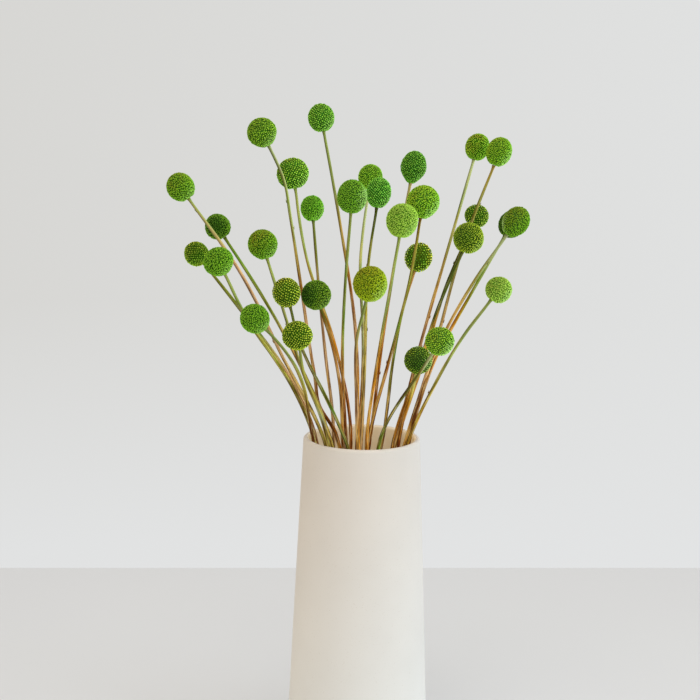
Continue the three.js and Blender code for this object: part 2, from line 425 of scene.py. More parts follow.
def spread(tree, value, source, target=(0.0, 1.0)):
    """value, moved from the source range to the target range and held inside it."""
    node = tree.nodes.new("ShaderNodeMapRange")
    plug(tree, value, node.inputs["Value"])
    names = ("From Min", "From Max", "To Min", "To Max")
    for name, number in zip(names, (*source, *target)):
        node.inputs[name].default_value = number
    return node.outputs["Result"]


def noise_spread(tree, vector, waves, source, target, detail=2):
    """Noise of so many waves a metre, its source range moved to the target range."""
    return spread(tree, noise(tree, vector, waves, detail), source, target)


def mixed(tree, share, low, high):
    """The colour low where share is 0 and high where it is 1."""
    node = tree.nodes.new("ShaderNodeMix")
    node.data_type = "RGBA"
    plug(tree, share, node.inputs[0])
    plug(tree, low, node.inputs[6])
    plug(tree, high, node.inputs[7])
    return node.outputs[2]


def ramp(tree, share, *stops):
    """A colour that runs through the stops, each a position and a colour code."""
    node = tree.nodes.new("ShaderNodeValToRGB")
    elements = node.color_ramp.elements
    while len(elements) < len(stops):
        elements.new(1)
    for element, (position, code) in zip(elements, stops):
        element.position = position
        element.color = linear(code)
    plug(tree, share, node.inputs["Fac"])
    return node.outputs["Color"]


def shade(tree, colour, value):
    """The colour, value times as bright."""
    node = tree.nodes.new("ShaderNodeHueSaturation")
    plug(tree, colour, node.inputs["Color"])
    plug(tree, value, node.inputs["Value"])
    return node.outputs["Color"]


def bump(tree, shader, height, strength, distance):
    node = tree.nodes.new("ShaderNodeBump")
    node.inputs["Strength"].default_value = strength
    node.inputs["Distance"].default_value = distance
    plug(tree, height, node.inputs["Height"])
    plug(tree, node.outputs["Normal"], shader.inputs["Normal"])


# ---- materials ----


# Where nearly all values of a noise lie.
NOISE_RANGE = (0.3, 0.7)

# The glaze's colours, with the painted shade on the lip and the colour of the painted glow
# inside, and its noises in waves a metre: wide clouds, specks and a fine grain. The specks also
# have the values of their noise where they set in and are full, and their cover.
GLAZE_FOOT_COLOUR = "f0eee8"
GLAZE_RIM_COLOUR = "e8e0d6"
LIP_PAINTED_SHADE_COLOUR = "dfd5ca"
SPECK_COLOUR = "cdbfae"
PAINTED_GLOW_COLOUR = "e4cb91"
GLAZE_CLOUDS = 14
GLAZE_CLOUD_RANGE = (0.35, 0.65)
GLAZE_SHADES = (0.98, 1.02)
GLAZE_ROUGHNESS = (0.50, 0.66)
GLAZE_SPECKS = (900, (0.66, 0.74), (0, 0.35))
GLAZE_GRAIN = 2200
GLAZE_GRAIN_DEPTH = 0.12 * MM


def ceramic_material():
    """Matte cream glaze, with painted shade on the lip and a painted glow on the inside wall."""
    material, tree, shader = new_material("matte_cream_ceramic")
    place = place_in(tree)
    clouds = noise(tree, place, GLAZE_CLOUDS, detail=3)
    specks = noise_spread(tree, place, *GLAZE_SPECKS)
    high = layer_of(tree, "high")
    cream = mixed(tree, high, linear(GLAZE_FOOT_COLOUR), linear(GLAZE_RIM_COLOUR))
    cream = shade(tree, cream, spread(tree, clouds, GLAZE_CLOUD_RANGE, GLAZE_SHADES))
    body = mixed(tree, specks, cream, linear(SPECK_COLOUR))
    # Painted shade on the lip.
    glaze = mixed(tree, layer_of(tree, "lip"), body, linear(LIP_PAINTED_SHADE_COLOUR))
    plug(tree, glaze, shader.inputs["Base Color"])
    plug(tree, spread(tree, clouds, NOISE_RANGE, GLAZE_ROUGHNESS), shader.inputs["Roughness"])
    shader.inputs["Specular IOR Level"].default_value = 0.35
    grain = noise(tree, place, GLAZE_GRAIN, detail=3)
    bump(tree, shader, grain, strength=0.25, distance=GLAZE_GRAIN_DEPTH)
    # Painted light: the inside wall below the rim glows.
    shader.inputs["Emission Color"].default_value = linear(PAINTED_GLOW_COLOUR)
    painted_glow = product(tree, layer_of(tree, "painted_glow"), PAINTED_INNER_GLOW)
    plug(tree, painted_glow, shader.inputs["Emission Strength"])
    return material


# Colours of a floret in its gap, halfway and at its tip: its own green, deeper at the root,
# with painted shade that darkens the gap.
HEAD_COLOURS = {
    "head_fresh": ("2c6305", "66a017", "a2ce3a"),
    "head_deep": ("215105", "568c13", "8ebd34"),
    "head_lime": ("5a8f1e", "92bb3c", "bad870"),
    "head_olive": ("2d5406", "6f9414", "b6c23a"),
    "head_yellow": ("688a0a", "90a916", "b4c134"),
}
LUSH_COLOURS = ("12550a", "36962a", "76c24c")
RIPE_COLOURS = ("424a06", "8b8c14", "c2ba38")
BUD_COLOURS = ("0a1f03", "234f0b", "568a20")
# Painted light: the pale colour of a head's lit side and fuzzy lit rim.
PAINTED_PALE_LIGHT_COLOUR = "a9cc7c"
SHEEN_COLOUR = "f2e0b0"

# Noises in the florets, in waves a metre: ripe patches, clumps, flecks and a fine grain. The
# first three also have the range of the noise that counts, and how ripe or bright it makes them.
RIPE_PATCHES = (130, (0.35, 0.6), (0.35, 1.1))
FLORET_CLUMPS = (380, NOISE_RANGE, (0.80, 1.20))
FLORET_FLECKS = (1500, NOISE_RANGE, (0.82, 1.18))
FLORET_ROUGHNESS = (0.9, 0.65)
FLORET_GRAIN = 4000
FLORET_GRAIN_DEPTH = 0.1 * MM

# The right side of a head, where two of the heads have painted pale light.
RIGHT = (0.93, -0.3, -0.2)

# How one head differs from the next. light: how bright it is, partly its own tone and partly
# painted light and shade for where it sits. lush: how far it is a deeper, cooler green. ripe: how
# olive its upper left and its rim are, the upper left partly by a painted warm tint of the light.
# bud: how dark and closed the florets round bud_at are, on 22 and 25 as painted shade on the left
# side. pale: how much painted pale light falls towards painted_light_at. crisp: how far its
# florets stand apart.
HEAD_TRAITS = {
    "01": {"light": 1.11, "ripe": 0.7, "pale": 0.25},
    "02": {"light": 1.10, "ripe": 0.3, "pale": 0.4, "crisp": 0.7},
    "03": {"light": 1.38, "lush": 0.2, "ripe": 0.5, "pale": 0.25, "crisp": 1.4},
    "04": {"light": 1.34, "lush": 0.45, "pale": 0.3, "crisp": 1.2},
    "05": {"light": 1.00, "ripe": 0.1, "bud": 0.9, "pale": 0.0, "crisp": 0.2},
    "06": {"light": 1.59, "lush": 0.35},
    "07": {"light": 1.38, "ripe": 0.9, "bud": 0.6, "pale": 0.0, "crisp": 1.2},
    "08": {"light": 1.20, "lush": 0.1},
    "09": {"light": 1.12, "ripe": 0.9, "pale": 0.25},
    "10": {"light": 1.13, "lush": 0.2, "pale": 0.6, "painted_light_at": RIGHT},
    "11": {"light": 1.44, "lush": 0.05, "pale": 0.3, "crisp": 0.5},
    "12": {"light": 1.77, "lush": 0.7, "bud": 0.2, "crisp": 1.2},
    "13": {"light": 1.20, "lush": 0.65, "crisp": 0.8},
    "14": {"light": 1.24, "pale": 0.4, "crisp": -0.35},
    "15": {"light": 1.54, "ripe": 0.6, "pale": 0.5, "crisp": 0.1},
    "16": {"light": 2.27, "ripe": 1.0, "bud": 1.0, "pale": 0.0, "crisp": 2.2},
    "17": {"light": 1.29, "ripe": 0.8, "pale": 0.05, "crisp": 0.3},
    "18": {"light": 1.32, "ripe": 0.6, "pale": 0.4},
    "19": {"light": 1.45, "lush": 0.2, "bud": 0.4, "pale": 0.05, "crisp": 1.9},
    "20": {"light": 1.35, "ripe": 0.15, "bud": 0.6, "bud_at": (-0.5, -1.0, 0.2), "crisp": 0.6},
    "21": {"light": 0.98, "ripe": 0.7, "pale": 1.0, "painted_light_at": (-0.95, 0.25, -0.1)},
    # 22 lies in the shade behind 21: its low light and its dark left side are painted shade.
    "22": {"light": 0.80, "bud": 0.6, "bud_at": (-1.0, -0.5, 0.0), "pale": 0.1, "crisp": 1.0},
    "23": {"light": 1.21, "ripe": 0.4, "pale": 0.6},
    "24": {"light": 1.56, "ripe": 0.9, "bud": 0.4, "pale": 0.05, "crisp": 1.7},
    # 25's dark left side is painted shade.
    "25": {"light": 1.02, "ripe": 0.2, "bud": 1.0, "bud_at": (-0.75, -0.65, 0.05), "crisp": 0.4},
    "26": {"light": 1.18, "lush": 0.1, "pale": 0.35},
    "27": {"light": 1.40, "ripe": 0.3, "bud": 0.3, "pale": 0.0, "crisp": 1.3},
    "28": {"light": 1.18, "ripe": 1.2, "pale": 0.35, "crisp": -0.5},
    "29": {"light": 1.02, "ripe": 0.55, "bud": 0.85, "crisp": 1.3, "pale": 0.55, "painted_light_at": RIGHT},
    "30": {"light": 1.30, "ripe": 0.5, "pale": 0.75, "crisp": 0.6},
}
TRAIT_DEFAULTS = {
    "lush": 0.0,
    "ripe": 0.15,
    "bud": 0.0,
    "bud_at": (-0.1, -1.0, 0.1),
    "pale": 0.2,
    "painted_light_at": (0.75, -0.25, -0.6),
    "crisp": 0.0,
}

# The upper left, made more olive by a painted warm tint of the light there, and how ripe a
# floret is across it and how much riper towards it.
WARM_TINT_WAY = (-0.55, -0.25, 0.8)
RIPE_ACROSS = 0.1
RIPE_TOWARDS = 0.9

# Painted light: florets that face right and down are brighter, by LIGHT_LEAN. Painted shade: those
# that face the front are dimmer: FRONT_DIM counts how far each one faces back of FRONT_MIDDLE, held
# in FRONT_RANGE.
LIGHT_LEAN = (0.19, 0.0, -0.37)
FRONT_DIM = 0.5
FRONT_MIDDLE = 0.8
FRONT_RANGE = (-0.2, 0.4)

# Florets are closed up to the first of CLOSED_REACH and open from the second, as angles from
# bud_at, both blurred a little. Round them, florets ripen from the first of OUTER_REACH to the
# second. PAINTED_PALE_LIGHT_REACH does the same for the painted pale light, in cosines of the
# angle from painted_light_at.
CLOSED_REACH = (0.35, 1.15)
OUTER_REACH = (0.5, 1.3)
PAINTED_PALE_LIGHT_REACH = (0.55, 0.97)
CLOSED_BLUR = 0.08

# How far each trait differs from floret to floret.
SCATTER = {"lush": (0.7, 1.1), "ripe": (0.5, 1.1), "bud": (0.8, 1.0), "pale": (0.7, 1.0)}


def floret_material(slot):
    """Florets: dark in their gaps, partly by painted shade, and bright at their tips; more olive
    where ripe; dark where still closed, on some heads as painted shade; and pale with painted
    light."""
    material, tree, shader = new_material(f"florets_{slot}")
    place = place_in(tree)
    tip = layer_of(tree, "tip")
    kinds = (HEAD_COLOURS[slot], LUSH_COLOURS, RIPE_COLOURS, BUD_COLOURS)
    green, cool, olive, closed = (ramp(tree, tip, *zip((0, 0.5, 1), kind)) for kind in kinds)
    patches = noise_spread(tree, place, *RIPE_PATCHES)
    ripe = product(tree, layer_of(tree, "ripe"), patches, clamp=True)
    open_floret = mixed(tree, ripe, mixed(tree, layer_of(tree, "lush"), green, cool), olive)
    grown = mixed(tree, layer_of(tree, "bud"), open_floret, closed)
    # Painted pale light on the head's lit side.
    colour = mixed(tree, layer_of(tree, "pale"), grown, linear(PAINTED_PALE_LIGHT_COLOUR))
    fleck = noise_spread(tree, place, *FLORET_FLECKS)
    uneven = product(tree, fleck, noise_spread(tree, place, *FLORET_CLUMPS))
    # The light layer carries painted light and shade as well as each head's own tone.
    value = product(tree, layer_of(tree, "light"), uneven)
    plug(tree, shade(tree, colour, value), shader.inputs["Base Color"])
    plug(tree, spread(tree, tip, (0, 1), FLORET_ROUGHNESS), shader.inputs["Roughness"])
    shader.inputs["Specular IOR Level"].default_value = 0.08
    shader.inputs["Sheen Weight"].default_value = 0.2
    shader.inputs["Sheen Roughness"].default_value = 0.3
    shader.inputs["Sheen Tint"].default_value = linear(SHEEN_COLOUR)
    grain = noise(tree, place, FLORET_GRAIN)
    bump(tree, shader, grain, strength=0.3, distance=FLORET_GRAIN_DEPTH)
    return material


# Colours that a drying stalk runs through.
STALK_COLOURS = {
    "pale": "bfca8c",
    "sage": "9aac56",
    "olive": "80842c",
    "green": "6e9a2a",
    "dark": "435a14",
    "straw": "c2b744",
    "gold": "e0941e",
    "tan": "d69c4c",
    "blush": "d4a878",
    "brown": "b06c20",
    "rust": "ae5e12",
    "umber": "743208",
}

# How a stalk's colours wander: each wave's reach in colours, and its radians from the rim to the
# head and in each radian round the stalk.
COLOUR_WAVES = ((0.35, 2, 1), (0.25, 9, 0), (0.16, 31, 2))

# A stalk's brightness: its mean, how much brighter its side to the right is by painted light,
# the angle of that side from the right, and a wave from the rim to the head with its reach and
# radians.
BRIGHTNESS = 1.03
PAINTED_LIGHT_GAIN = 0.48
PAINTED_LIGHT_ANGLE = 0.3
BRIGHTNESS_WAVE = (0.08, 17)

# A stalk's noises, in waves a metre, each with its detail. Height counts GRAIN_STRETCH as much
# as width, which draws them out along the stalk.
STALK_NOISES = {"streak": (1100, 3), "band": (420, 2)}
STALK_MOTTLE = (160, NOISE_RANGE, (0.72, 1.3))
GRAIN_STRETCH = 0.06

# A stalk's markings, the later ones over the earlier: the noise, its values where the marking
# sets in and is full, the cover of a full one and its colour. The furrows are dark streaks with
# painted shade in the grooves that the same noise cuts, and the fibres pale streaks with a painted
# highlight on the ridges between. They fade from the rim up, and have LEAST_DRY of their cover at
# the head.
STALK_MARKINGS = {
    "stain": ("band", (0.50, 0.58), 0.8, "5e2a04"),
    "husk": ("band", (0.47, 0.38), 0.7, "f2c86a"),
    "furrow_and_shade": ("streak", (0.50, 0.62), 0.85, "4a2202"),
    "fibre_and_highlight": ("streak", (0.46, 0.34), 0.6, "f0dfa4"),
}
LEAST_DRY = 0.15
FURROW_DEPTH = 0.3 * MM
STALK_ROUGHNESS = (0.5, 0.75)

# Each stalk's colours from the rim up to its head.
STALK_RUNS = {
    "01": "straw blush blush sage",
    "02": "brown blush brown sage pale",
    "03": "rust gold sage sage",
    "04": "gold gold blush brown sage sage",
    "05": "straw tan green olive",
    "06": "blush blush blush olive sage",
    "07": "umber blush green olive",
    "08": "pale straw green sage",
    "09": "straw straw sage sage",
    "10": "rust tan green sage",
    "11": "tan pale sage pale",
    "12": "blush straw olive dark",
    "13": "rust gold sage blush",
    "14": "gold gold sage sage",
    "15": "rust brown brown green straw umber",
    "16": "umber olive green tan dark",
    "17": "rust tan blush tan sage pale",
    "18": "gold tan blush olive olive tan",
    "19": "umber gold dark dark olive",
    "20": "umber gold dark dark",
    "21": "tan blush tan sage pale",
    "22": "umber tan gold green sage",
    "23": "gold straw sage sage",
    "24": "dark green dark olive",
    "25": "rust tan brown dark",
    "26": "umber straw sage sage",
    "27": "straw pale straw sage",
    "28": "gold blush tan sage sage",
    "29": "umber gold straw sage",
    "30": "green dark olive pale",
}


def stalk_material(slot):
    """A dry stalk in its own colours, stained and husky, with dark furrows that carry painted shade
    and pale fibres that carry a painted highlight.
    """
    material, tree, shader = new_material(f"stalk_{slot}")
    grain = layer_of(tree, "grain", "Vector")
    noises = {name: noise(tree, grain, *kind) for name, kind in STALK_NOISES.items()}
    dryness = spread(tree, layer_of(tree, "dry"), (0, 1), (LEAST_DRY, 1))
    colour = layer_of(tree, "hue", "Color")
    # The furrows carry painted shade and the fibres a painted highlight.
    for kind, reach, most, code in STALK_MARKINGS.values():
        cover = product(tree, spread(tree, noises[kind], reach, (0, most)), dryness)
        colour = mixed(tree, cover, colour, linear(code))
    colour = shade(tree, colour, noise_spread(tree, grain, *STALK_MOTTLE, detail=3))
    plug(tree, colour, shader.inputs["Base Color"])
    streak = noises["streak"]
    plug(tree, spread(tree, streak, NOISE_RANGE, STALK_ROUGHNESS), shader.inputs["Roughness"])
    shader.inputs["Specular IOR Level"].default_value = 0.08
    bump(tree, shader, streak, strength=-0.7, distance=FURROW_DEPTH)
    return material


TABLE_COLOURS = ("dcdbdc", "dfdfdf")
TABLE_CLOUDS = 3
TABLE_ROUGHNESS = (0.45, 0.6)


def table_material():
    """A pale matte top with faint clouds."""
    material, tree, shader = new_material("pale_table")
    clouds = noise(tree, place_in(tree), TABLE_CLOUDS, detail=3)
    pale = mixed(tree, clouds, *(linear(code) for code in TABLE_COLOURS))
    plug(tree, pale, shader.inputs["Base Color"])
    plug(tree, spread(tree, clouds, NOISE_RANGE, TABLE_ROUGHNESS), shader.inputs["Roughness"])
    return material


# ---- vase ----


def arc(centre, radius, start, end, steps):
    """Points on an arc between two angles in degrees."""
    angles = np.radians(np.linspace(start, end, steps + 1))
    around = np.column_stack([radius * np.cos(angles), radius * np.sin(angles)])
    return np.array(centre) + around


def straight(start, end, steps):
    """Points between two points, without the two."""
    share = np.linspace(0, 1, steps + 1)[1:-1, None]
    return start + (end - start) * share


def vase_outline(node):
    """Radius and height along the vase's section, from the middle of the foot to the middle of
    its floor inside."""
    corners = corners_of(node)
    radius = np.hypot(corners[:, 0], corners[:, 1])
    height = corners[:, 2].max()
    foot = radius.max()
    floor = corners[radius < NEAR_AXIS][:, 2].max()
    lip_middle = radius[corners[:, 2] > height - SAME_CORNER].mean()
    rim = radius[corners[:, 2] > height - LIP_REACH].max()
    lip = rim - lip_middle
    lip_centre = (lip_middle, height - lip)
    corner_height = floor + INNER_CORNER
    inner = foot + (rim - foot) * corner_height / (height - lip) - 2 * lip
    corner_centre = (inner - INNER_CORNER, corner_height)
    foot_arc = arc((foot - FOOT_EDGE, FOOT_EDGE), FOOT_EDGE, -90, 0, FOOT_STEPS)
    lip_arc = arc(lip_centre, lip, 0, 180, LIP_STEPS)
    corner_arc = arc(corner_centre, INNER_CORNER, 0, -90, INNER_CORNER_STEPS)
    return np.vstack([
        foot_arc,
        straight(foot_arc[-1], lip_arc[0], WALL_ROWS),
        lip_arc,
        straight(lip_arc[-1], corner_arc[0], WALL_ROWS),
        corner_arc,
    ])


def vase_layers(height):
    """How much painted glow, painted lip shade and warm glaze each row of the vase's outline has.
    """
    row = np.arange(len(height))
    lip_start = FOOT_STEPS + WALL_ROWS
    inside = row > lip_start + LIP_STEPS * INSIDE_FROM
    off_lip = np.abs(row - lip_start - LIP_STEPS / 2) / (LIP_STEPS / 2)
    return {
        "painted_glow": inside * np.exp(-(height.max() - height) / PAINTED_GLOW_DEPTH),
        "lip": np.clip(1 - off_lip**2, 0, 1),
        "high": np.clip((height - GLAZE_LOW) / (GLAZE_HIGH - GLAZE_LOW), 0, 1),
    }


def add_vase():
    outline = vase_outline("vase")
    angle = round_angles(VASE_SEGMENTS)
    radius, height = outline[:, :1], outline[:, 1:]
    thrown = 1 + WALL_UNEVEN / radius.max() * np.sin(WALL_BULGES * angle + WALL_TWIST * height)
    thrown = np.where(height > FOOT_EDGE, thrown, 1)
    points = rings_of(radius * thrown, height, angle)
    triangles = closed_tube(len(outline), VASE_SEGMENTS)
    layers = vase_layers(height[:, 0])
    layers = {name: np.repeat(values, VASE_SEGMENTS) for name, values in layers.items()}
    add_piece("vase_body", "vase", points, triangles, ceramic_material(), **layers)


# ---- stalks ----


def scale_leaf(centre, turn, radius, angle):
    """A small dry pointed leaf that stands off the stalk, as four points and four triangles."""
    out = np.cos(angle) * turn[0] + np.sin(angle) * turn[1]
    around = np.cross(turn[2], out)
    base = centre + out * radius * SCALE_LEAF_SUNK
    points = np.array([
        base - around * SCALE_LEAF_WIDTH / 2,
        base + around * SCALE_LEAF_WIDTH / 2,
        base + out * radius * SCALE_LEAF_HEEL - turn[2] * SCALE_LEAF_WIDTH / 2,
        centre + out * (radius + SCALE_LEAF_STAND) + turn[2] * SCALE_LEAF_LENGTH,
    ])
    return points, np.array([[0, 1, 3], [1, 2, 3], [2, 0, 3], [0, 2, 1]])


def run_of_colours(names, rise, angle, random):
    """Colours over a stalk: they change with height, and a little from one side to the other, with
    painted light on the side towards the right.
    """
    colours = np.array([linear(STALK_COLOURS[name])[:3] for name in names])
    *starts, last_start = random.uniform(0, 2 * np.pi, len(COLOUR_WAVES) + 1)
    shift = sum(
        reach * np.sin(climb * rise + turns * angle + start)
        for (reach, climb, turns), start in zip(COLOUR_WAVES, starts)
    )
    place = np.clip(rise * (len(colours) - 1) + shift, 0, len(colours) - 1)
    low = np.minimum(place.astype(int), len(colours) - 2)
    share = (place - low)[:, None]
    hue = colours[low] * (1 - share) + colours[low + 1] * share
    wave_reach, wave_climb = BRIGHTNESS_WAVE
    # Painted light: the side towards the right is brighter.
    bright = BRIGHTNESS + PAINTED_LIGHT_GAIN * np.cos(angle - PAINTED_LIGHT_ANGLE)
    bright = bright + wave_reach * np.sin(wave_climb * rise + last_start)
    return hue * bright[:, None]


def stalk_heights(bottom, rim_height, top):
    """Heights of a stalk's rings: wide steps in the vase, closer ones above it, and a collar."""
    in_vase = np.arange(bottom, rim_height - STALK_STEP_IN_VASE, STALK_STEP_IN_VASE)
    in_open = np.linspace(rim_height, top - COLLAR_HEIGHT, int((top - rim_height) / STALK_STEP))
    return np.concatenate([in_vase, in_open, top - COLLAR_HEIGHT * np.array(COLLAR_ROWS)])


def stalk_profile(line, radii, heights, angle, random):
    """The radius of each ring of a stalk, and with its ridges the reach of each point."""
    *swell_starts, ridge_start = random.uniform(0, 2 * np.pi, len(SWELL_LENGTHS) + 1)
    swells = [np.sin(heights / step + start) for step, start in zip(SWELL_LENGTHS, swell_starts)]
    radius = SLIMMING * np.interp(heights, line[:-1, 2], radii[:-1])
    radius = radius * (1 + SWELL_SHARE * sum(swells))
    flare = np.clip((heights - line[-1][2] + COLLAR_HEIGHT) / COLLAR_HEIGHT, 0, 1) ** 2
    radius = radius + (COLLAR_RADIUS - radius) * flare
    twist = heights / RIDGE_TWIST + ridge_start
    ridges = RIDGE_SHARE * np.cos(RIDGES * angle[None] + twist[:, None]) * (1 - flare)[:, None]
    return radius, (radius[:, None] * (1 + ridges))[..., None]


def leaves_on(centres, turns, radius, rim_height, random):
    """Each scale leaf of a stalk: the row it grows at, its points and its triangles."""
    heights = centres[:, 2]
    leaves = int((heights[-1] - rim_height) / SCALE_LEAF_SPACING)
    lowest, highest = rim_height + SCALE_LEAF_CLEAR, heights[-1] - 2 * COLLAR_HEIGHT
    for height in random.uniform(lowest, highest, leaves):
        row = int(np.searchsorted(heights, height))
        angle = random.uniform(0, 2 * np.pi)
        yield row, *scale_leaf(centres[row], turns[row], radius[row], angle)


def stalk_mesh(line, radii, rim_height, names, random):
    """Points, triangles and layers of one fine stalk along a row of knots and their radii."""
    top = line[-1][2]
    heights = stalk_heights(line[0][2], rim_height, top)
    centres = smooth_run(line, heights)
    heading = unit(np.gradient(centres, heights, axis=0))
    side = unit(np.cross([0, 1, 0], heading))
    turns = np.stack([side, np.cross(heading, side), heading], axis=1)
    angle = round_angles(STALK_SIDES)
    radius, reach = stalk_profile(line, radii, heights, angle, random)
    cosine, sine = (wave(angle)[None, :, None] for wave in (np.cos, np.sin))
    across = cosine * turns[:, :1] + sine * turns[:, 1:2]
    parts = [(centres[:, None] + across * reach).reshape(-1, 3)]
    rows = len(heights)
    triangles = [closed_tube(rows, STALK_SIDES)]

    around = np.stack([np.cos(angle), np.sin(angle)], axis=1)[None] * radius[:, None, None]
    along = np.broadcast_to(heights[:, None, None] * GRAIN_STRETCH, (rows, STALK_SIDES, 1))
    grain = np.concatenate([around, along], axis=2).reshape(-1, 3) + random.uniform(0, 1, 3)
    rise = np.repeat(np.clip((heights - rim_height) / (top - rim_height), 0, 1), STALK_SIDES)
    hue = run_of_colours(names, rise, np.tile(angle, rows), random)

    # Which of the stalk's points each point looks like: itself, or the one its leaf grows at.
    looks_like = [np.arange(rows * STALK_SIDES)]
    for row, leaf, faces in leaves_on(centres, turns, radius, rim_height, random):
        triangles.append(faces + sum(len(part) for part in parts))
        parts.append(leaf)
        looks_like.append(np.full(len(leaf), row * STALK_SIDES))
    like = np.concatenate(looks_like)
    layers = {"grain": grain[like], "hue": hue[like], "dry": 1 - rise[like]}
    layers["hue"][len(rise):] *= SCALE_LEAF_SHADE
    return np.vstack(parts), np.vstack(triangles), layers


def joined(meshes):
    """Several meshes, each of points, triangles and layers, as one."""
    starts = np.cumsum([0] + [len(points) for points, _, _ in meshes])
    points = np.vstack([mesh[0] for mesh in meshes])
    triangles = np.vstack([mesh[1] + start for mesh, start in zip(meshes, starts)])
    layers = {name: np.concatenate([mesh[2][name] for mesh in meshes]) for name in meshes[0][2]}
    return points, triangles, layers


def add_stalks(lines_of, materials):
    """A fine stalk for every stalk of the CAD nodes. Where a node holds two, the nearer one
    comes first, as in the node's name."""
    rim_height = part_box("vase")[1].z
    for number, (node, lines) in enumerate(lines_of.items()):
        lines = sorted(lines, key=lambda line: line[-1][1])
        random = np.random.default_rng(STALK_SEED + number)
        runs = [STALK_RUNS[mark].split() for mark in node.split("_")[1:]]
        points, triangles, layers = joined([
            stalk_mesh(line, ring_radii(node, line), rim_height, names, random)
            for line, names in zip(lines, runs)
        ])
        name = node.replace("stem", "stalk")
        add_piece(name, node, points, triangles, materials[SLOT_OF[node]], **layers)


# ---- heads ----


def on_head(form, directions, share, lumps):
    """Points of a head's form, in the head's own frame, in the given directions from its
    centre. The underside is flat where the stalk meets it."""
    narrowing = 1 - form["pear"] * np.clip(-directions[:, 2], 0, 1) ** 2
    points = directions * np.array([form["half_width"], form["half_width"], form["half_length"]])
    points = points * np.column_stack([narrowing, narrowing, np.ones(len(narrowing))])
    points = points * np.reshape(share * lumps(directions), (-1, 1))
    points[:, 2] = np.maximum(points[:, 2], -HEAD_SEAT * form["half_length"])
    return points


def lumps_from(random):
    """A smooth slight unevenness over all directions."""
    ways = unit(random.normal(size=(LUMP_WAVES, 3)))
    ways = ways * random.uniform(*LUMP_PITCHES, (LUMP_WAVES, 1))
    starts = random.uniform(0, 2 * np.pi, LUMP_WAVES)
    return lambda directions: 1 + LUMP_SHARE * np.sin(directions @ ways.T + starts).sum(axis=1)


def evenly_round(count, turn):
    """Directions spread evenly over a ball along a golden spiral."""
    place = np.arange(count) + 0.5
    height = 1 - 2 * place / count
    angle = place * GOLDEN_ANGLE + turn
    spread_out = np.sqrt(1 - height**2)
    return np.column_stack([spread_out * np.cos(angle), spread_out * np.sin(angle), height])


# One floret, in units of its width: a skirt of pointed lobes, a shoulder, a crown and a root.
# Each ring has its count of points, its radii, its heights and how bright it is, and the crown
# its height and how bright it is: the skirt and the root are darkest, partly by painted shade in
# the gaps. A floret's first side is square to OFF_THE_AXES before it is turned.
FLORET_RINGS = (
    (2 * LOBES, (1.0, 0.72), (-0.32, -0.40), (0.35, 0.05)),
    (LOBES, (0.52,), (-0.02,), (0.85,)),
)
CROWN = (0.10, 1.0)
OFF_THE_AXES = (0.3, 0.5, 0.81)


def floret_template():
    """Points, triangles and brightness of one floret. The last point is its root."""
    points = []
    tips = []
    for count, radii, heights, brightness in FLORET_RINGS:
        for corner in range(count):
            angle = 2 * math.pi * corner / count
            kind = corner % len(radii)
            x, y = radii[kind] * math.cos(angle), radii[kind] * math.sin(angle)
            points.append((x, y, heights[kind]))
            tips.append(brightness[kind])
    points += [(0, 0, CROWN[0]), (0, 0, 0)]
    tips += [CROWN[1], 0]
    crown, root = 3 * LOBES, 3 * LOBES + 1
    triangles = []
    for lobe in range(LOBES):
        after = (lobe + 1) % LOBES
        tip, notch, next_tip = 2 * lobe, 2 * lobe + 1, 2 * after
        high, next_high = 2 * LOBES + lobe, 2 * LOBES + after
        triangles += [[root, notch, tip], [root, next_tip, notch]]
        triangles += [[tip, notch, high], [notch, next_high, high], [notch, next_tip, next_high]]
        triangles.append([high, next_high, crown])
    return np.array(points), np.array(triangles), np.array(tips)


def ball(rings, columns):
    """Directions and triangles of a closed ball."""
    polar = np.linspace(0, np.pi, rings + 2)[1:-1, None]
    body = rings_of(np.sin(polar), np.cos(polar), round_angles(columns))
    directions = np.vstack([body, [[0, 0, 1], [0, 0, -1]]])
    top, bottom = len(body), len(body) + 1
    first = np.arange(columns)
    after = (first + 1) % columns
    last = (rings - 1) * columns
    triangles = np.vstack([
        grid_triangles(rings, columns)[:, ::-1],
        np.column_stack([first, after, np.full(columns, top)]),
        np.column_stack([last + after, last + first, np.full(columns, bottom)]),
    ])
    return directions, triangles


def neck(form):
    """The green base of a head, from its core down to the stalk's end."""
    angle = round_angles(NECK_SIDES)
    radii = SEAT_HOLE * np.array(NECK_ROWS)[:, None]
    seat = -HEAD_SEAT * form["half_length"]
    points = rings_of(radii, np.array([[seat], [seat + NECK_HEIGHT]]), angle)
    return points, closed_tube(len(radii), NECK_SIDES)


def smooth_step(values, low, high):
    """0 up to low, 1 from high on, and a smooth rise between."""
    share = np.clip((values - low) / (high - low), 0, 1)
    return share**2 * (3 - 2 * share)


